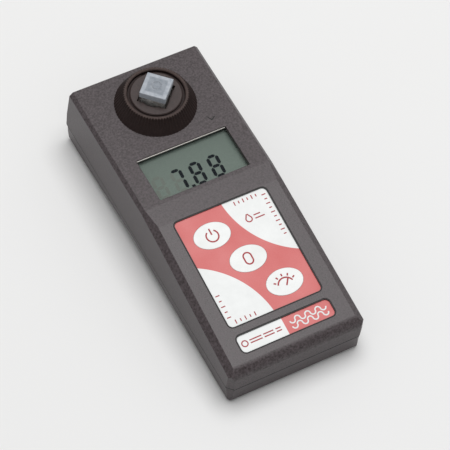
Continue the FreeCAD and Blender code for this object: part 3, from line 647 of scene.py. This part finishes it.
def piece(name, bm, plane, material, body):
    """Turns a drawing in mm into a piece that lies in the given plane and rides a body."""
    bmesh.ops.transform(bm, matrix=plane @ Matrix.Scale(MM, 4), verts=bm.verts)
    bmesh.ops.remove_doubles(bm, verts=bm.verts, dist=1e-7)
    bmesh.ops.recalc_face_normals(bm, faces=bm.faces)
    mesh = bpy.data.meshes.new(name)
    bm.to_mesh(mesh)
    bm.free()
    made = bpy.data.objects.new(name, mesh)
    bpy.context.scene.collection.objects.link(made)
    mesh.materials.append(material)
    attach(made, body)
    return made


def draw_key_marks():
    """A power sign, a nought and a dial, one on each key."""
    stroke = 0.56
    larger = Matrix.Scale(1.35, 4)
    power = bmesh.new()
    add_arc(power, (0, -0.2), 2.3, stroke, math.radians(125), math.radians(290))
    add_bar(power, (0, 1.6), stroke, 2.6)
    piece("power_mark", power, face_plane("key_on_off") @ larger, RED_INK, "key_on_off")

    zero = bmesh.new()
    height, width = 2.3, 1.5
    for side in (-1, 1):
        add_bar(zero, (side * width, 0), stroke, 2 * height - 2 * width)
        add_arc(zero, (0, side * (height - width)), width, stroke, 0 if side > 0 else math.pi, math.pi)
    piece("zero_mark", zero, face_plane("key_zero") @ larger, RED_INK, "key_zero")

    dial = bmesh.new()
    hub = -1.6
    add_arc(dial, (0, hub), 3.1, stroke, math.radians(20), math.radians(140))
    add_bar(dial, (0.8, hub + 1.15), 2.8, stroke, math.radians(55))
    for angle in (30, 60, 90, 120, 150):
        turn = math.radians(angle)
        add_bar(dial, (4.3 * math.cos(turn), hub + 4.3 * math.sin(turn)), 1.0, stroke, turn)
    piece("read_mark", dial, face_plane("key_read") @ larger, RED_INK, "key_read")


def add_ticks(bm, start, step, count, upright):
    """A row of long and short ticks, like a printed scale."""
    for i in range(count):
        reach = 2.2 if i % 2 == 0 else 1.5
        place = (start[0] + step[0] * i, start[1] + step[1] * i)
        add_bar(bm, place, *((0.55, reach) if upright else (reach, 0.55)))


def draw_keypad_marks():
    """Small scales along the keypad's edges, and a drop beside two level lines."""
    low, high = slope_span("keypad_overlay")
    inset = 2.8
    marks = bmesh.new()
    add_ticks(marks, (7.4, high.y - inset), (2.35, 0), 6, upright=True)
    add_ticks(marks, (high.x - inset, high.y - 3.9), (0, -2.55), 10, upright=False)
    add_ticks(marks, (low.x + inset, low.y + 18.2), (0, -3.05), 5, upright=False)
    add_ticks(marks, (low.x + 4.9, low.y + inset), (2.6, 0), 5, upright=True)
    drop_x, drop_y, drop_r, stroke = 10.2, -13.0, 1.55, 0.62
    add_arc(marks, (drop_x, drop_y), drop_r, stroke, math.radians(150), math.radians(240))
    for side in (-1, 1):
        add_bar(marks, (drop_x + side * 0.72, drop_y + 1.78), 2.35, stroke, math.radians(90 + side * 30))
    for i, length in enumerate((5.2, 3.6)):
        add_bar(marks, (drop_x + 3.0 + length / 2, drop_y - 0.9 + 1.9 * i), length, stroke)
    plane = SLOPE @ Matrix.Translation((0, 0, MARK_LIFT * MM))
    piece("keypad_marks", marks, plane, RED_INK, "tester")


def draw_label_marks():
    """White waves on the label's coral end, and plain bars on its white end."""
    plane = face_plane("name_label")
    waves = bmesh.new()
    radius, stroke = 1.4, 0.7
    for row in (1.45, -1.45):
        for i in range(7):
            x = 4.3 + i * 2 * radius
            add_arc(waves, (x, row), radius, stroke, 0 if i % 2 else math.pi, math.pi, steps=16)
    piece("label_waves", waves, plane, WHITE_INK, "tester")
    bars = bmesh.new()
    add_arc(bars, (-22.2, 0), 1.5, 0.6, 0, 2 * math.pi)
    for x, length in ((-16.2, 6.4), (-9.2, 5.4), (-3.9, 2.8)):
        for row in (0.75, -0.75):
            add_bar(bars, (x, row), length, 0.6)
    piece("label_bars", bars, plane, RED_INK, "tester")


def draw_arrowhead():
    """Dark arrowhead beside the well, painted shade that stands for the shade in its engraved groove: it points to
    the near end.
    """
    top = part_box("upper_case")[1].z
    tip_x, tip_y, arm, width, heading = 20.6, -21.3, 2.8, 0.6, 75
    plane = Matrix.Translation((WELL.x, WELL.y, top + MARK_LIFT * MM))
    paint = bmesh.new()
    for side in (-1, 1):
        turn = math.radians(heading + side * 41)
        middle = (tip_x + math.cos(turn) * arm / 2, tip_y + math.sin(turn) * arm / 2)
        add_bar(paint, middle, arm, width, turn)
    piece("arrowhead_painted_shade", paint, plane, SHADE_PAINT, "tester")


def draw_panel_shade_line(name, node, corner):
    """A black bead round a sunk panel, painted shade that shows as a fine line where the panel's gap and wall lie
    in shade.
    """
    width, rise = 0.48, 0.62
    low, high = slope_span(node)
    middle, half = (low + high) / 2, (high - low) / 2
    shade_bead = bmesh.new()
    for side in (-1, 1):
        add_bar(shade_bead, (0, side * (half.y - width / 2)), 2 * (half.x - corner), width, thick=rise)
        add_bar(shade_bead, (side * (half.x - width / 2), 0), width, 2 * (half.y - corner), thick=rise)
    for quarter, (across, along) in enumerate(((1, 1), (-1, 1), (-1, -1), (1, -1))):
        centre = (across * (half.x - corner), along * (half.y - corner))
        add_arc(shade_bead, centre, corner - width / 2, width, quarter * math.pi / 2, math.pi / 2, rise, steps=10)
    place = Vector((middle.x, middle.y, high.z + MARK_LIFT))
    piece(name, shade_bead, SLOPE @ Matrix.Translation(place * MM), SHADE_PAINT, "tester")


def draw_window_highlight_bar():
    """A pale bar along the window's far wall, a painted highlight where the polished step of the clear window
    catches the light in its opening.
    """
    glass_low, glass_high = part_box("display_lens")
    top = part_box("upper_case")[1].z
    side_inset, far_inset = 2.25, 2.04
    section, height, drop = 0.32, 0.55, 0.75
    x0, x1 = glass_low.x / MM + side_inset, glass_high.x / MM - side_inset
    far = glass_high.y / MM - far_inset
    edge = bmesh.new()
    turn = Matrix.Translation(((x0 + x1) / 2, far - section / 2, 0))
    bmesh.ops.create_cube(edge, size=1.0, matrix=turn @ Matrix.Diagonal((x1 - x0, section, height, 1.0)))
    bmesh.ops.bevel(edge, geom=list(edge.edges), offset=0.08, affect="EDGES", segments=2, profile=0.5,
                    material=-1)
    plane = Matrix.Translation((0, 0, top - (drop + height / 2) * MM))
    piece("window_highlight_bar", edge, plane, WINDOW_HIGHLIGHT_PAINT, "tester")


# ---------------------------------------------------------------- display characters
DIGIT_W, DIGIT_H, STROKE, SLANT = 6.5, 13.8, 1.75, math.radians(3.6)
SEGMENT_GAP = 0.28
DIGIT_PITCH = 10.2
FIRST_DIGIT = -20.24      # foot of the unlit digit, in mm from the middle
DIGIT_MIDDLE = 18.0
SEGMENTS = {"a": (0, 1), "b": (1, 0.5), "c": (1, -0.5), "d": (0, -1), "e": (-1, -0.5), "f": (-1, 0.5),
            "g": (0, 0)}
SHAPES = {"7": "abc", "8": "abcdefg"}


def add_segment(bm, name, origin, thick):
    """One six-cornered display segment, slanted like the others."""
    across, up = SEGMENTS[name]
    half_w, half_h = (DIGIT_W - STROKE) / 2, (DIGIT_H - STROKE) / 2
    x, y = across * half_w, up * half_h
    level = across == 0
    reach = (half_w if level else half_h / 2) - SEGMENT_GAP
    nib = STROKE / 2
    outline = [(-reach, 0), (-reach + nib, nib), (reach - nib, nib), (reach, 0), (reach - nib, -nib),
               (-reach + nib, -nib)]
    points = []
    for px, py in outline:
        qx, qy = (x + px, y + py) if level else (x - py, y + px)
        points.append((origin[0] + qx + (qy + DIGIT_H / 2) * math.tan(SLANT), origin[1] + qy))
    add_outline(bm, points, thick)


def draw_display():
    """The reading, its decimal point and the faint unlit segments beside them."""
    glass_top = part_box("display_glass")[1].z
    plane = Matrix.Translation((0, 0, glass_top + MARK_LIFT * MM))
    lit, ghost = bmesh.new(), bmesh.new()
    for i, character in enumerate(" 788"):
        origin = (FIRST_DIGIT + DIGIT_PITCH * i, DIGIT_MIDDLE)
        for name in SEGMENTS:
            shown = name in SHAPES.get(character, "")
            add_segment(lit if shown else ghost, name, origin, 0.03)
    point_x = FIRST_DIGIT + 1.5 * DIGIT_PITCH + 0.3
    add_bar(lit, (point_x, DIGIT_MIDDLE - DIGIT_H / 2 + STROKE / 2), STROKE, STROKE, thick=0.03)
    piece("display_digits", lit, plane, SEGMENT_INK, "tester")
    piece("display_ghosts", ghost, plane, GHOST_INK, "tester")


draw_key_marks()
draw_keypad_marks()
draw_label_marks()
draw_arrowhead()
draw_panel_shade_line("keypad_shade_line", "keypad_overlay", PANEL_CORNER)
draw_panel_shade_line("label_shade_line", "name_label", PANEL_CORNER)
draw_window_highlight_bar()
draw_display()


# ---------------------------------------------------------------- floor, light and camera
def build_floor():
    """A wide pale table."""
    def base(s):
        return s.mix(s.noise(s.object_place(), 3.0), colour(239, 239, 238), colour(241, 241, 241))

    size = 6.0
    bm = bmesh.new()
    bmesh.ops.create_grid(bm, x_segments=2, y_segments=2, size=size)
    mesh = bpy.data.meshes.new("floor")
    bm.to_mesh(mesh)
    bm.free()
    floor = bpy.data.objects.new("floor", mesh)
    bpy.context.scene.collection.objects.link(floor)
    mesh.materials.append(finish_of("floor", base, 0.8))


def area_light(name, place, aim, size, power):
    """A round soft light that faces a point."""
    light = bpy.data.lights.new(name, "AREA")
    light.shape = "DISK"
    light.size = size
    light.energy = power
    made = bpy.data.objects.new(name, light)
    bpy.context.scene.collection.objects.link(made)
    made.location = place
    made.rotation_euler = (Vector(aim) - Vector(place)).to_track_quat("-Z", "Y").to_euler()


def build_world(strength):
    """Even white light from all round."""
    world = bpy.data.worlds.new("studio")
    bpy.context.scene.world = world
    world.use_nodes = True
    back = world.node_tree.nodes["Background"]
    back.inputs["Color"].default_value = (1.0, 1.0, 1.0, 1.0)
    back.inputs["Strength"].default_value = strength


def build_camera():
    """Looks down on the near left corner, slightly rolled."""
    azimuth, elevation, roll = math.radians(-32.87), math.radians(55.84), math.radians(5.79)
    reach, target = 1.18054, Vector((3.36, -6.90, 20.0)) * MM
    back = Vector((math.sin(azimuth) * math.cos(elevation), -math.cos(azimuth) * math.cos(elevation),
                   math.sin(elevation)))
    level = Vector((0, 0, 1)).cross(back).normalized()
    upright = back.cross(level)
    right = math.cos(roll) * level + math.sin(roll) * upright
    up = back.cross(right)
    data = bpy.data.cameras.new("camera")
    data.sensor_width, data.lens = 36.0, 192.06
    camera = bpy.data.objects.new("camera", data)
    bpy.context.scene.collection.objects.link(camera)
    turn = Matrix((right, up, back)).transposed().to_4x4()
    camera.matrix_world = Matrix.Translation(target + back * reach) @ turn
    bpy.context.scene.camera = camera


build_floor()
build_world(0.39)
area_light("overhead", (0.22, 0.22, 1.9), (0, 0, 0), 1.5, 25.6)
build_camera()
bpy.context.scene.view_settings.view_transform = "Standard"
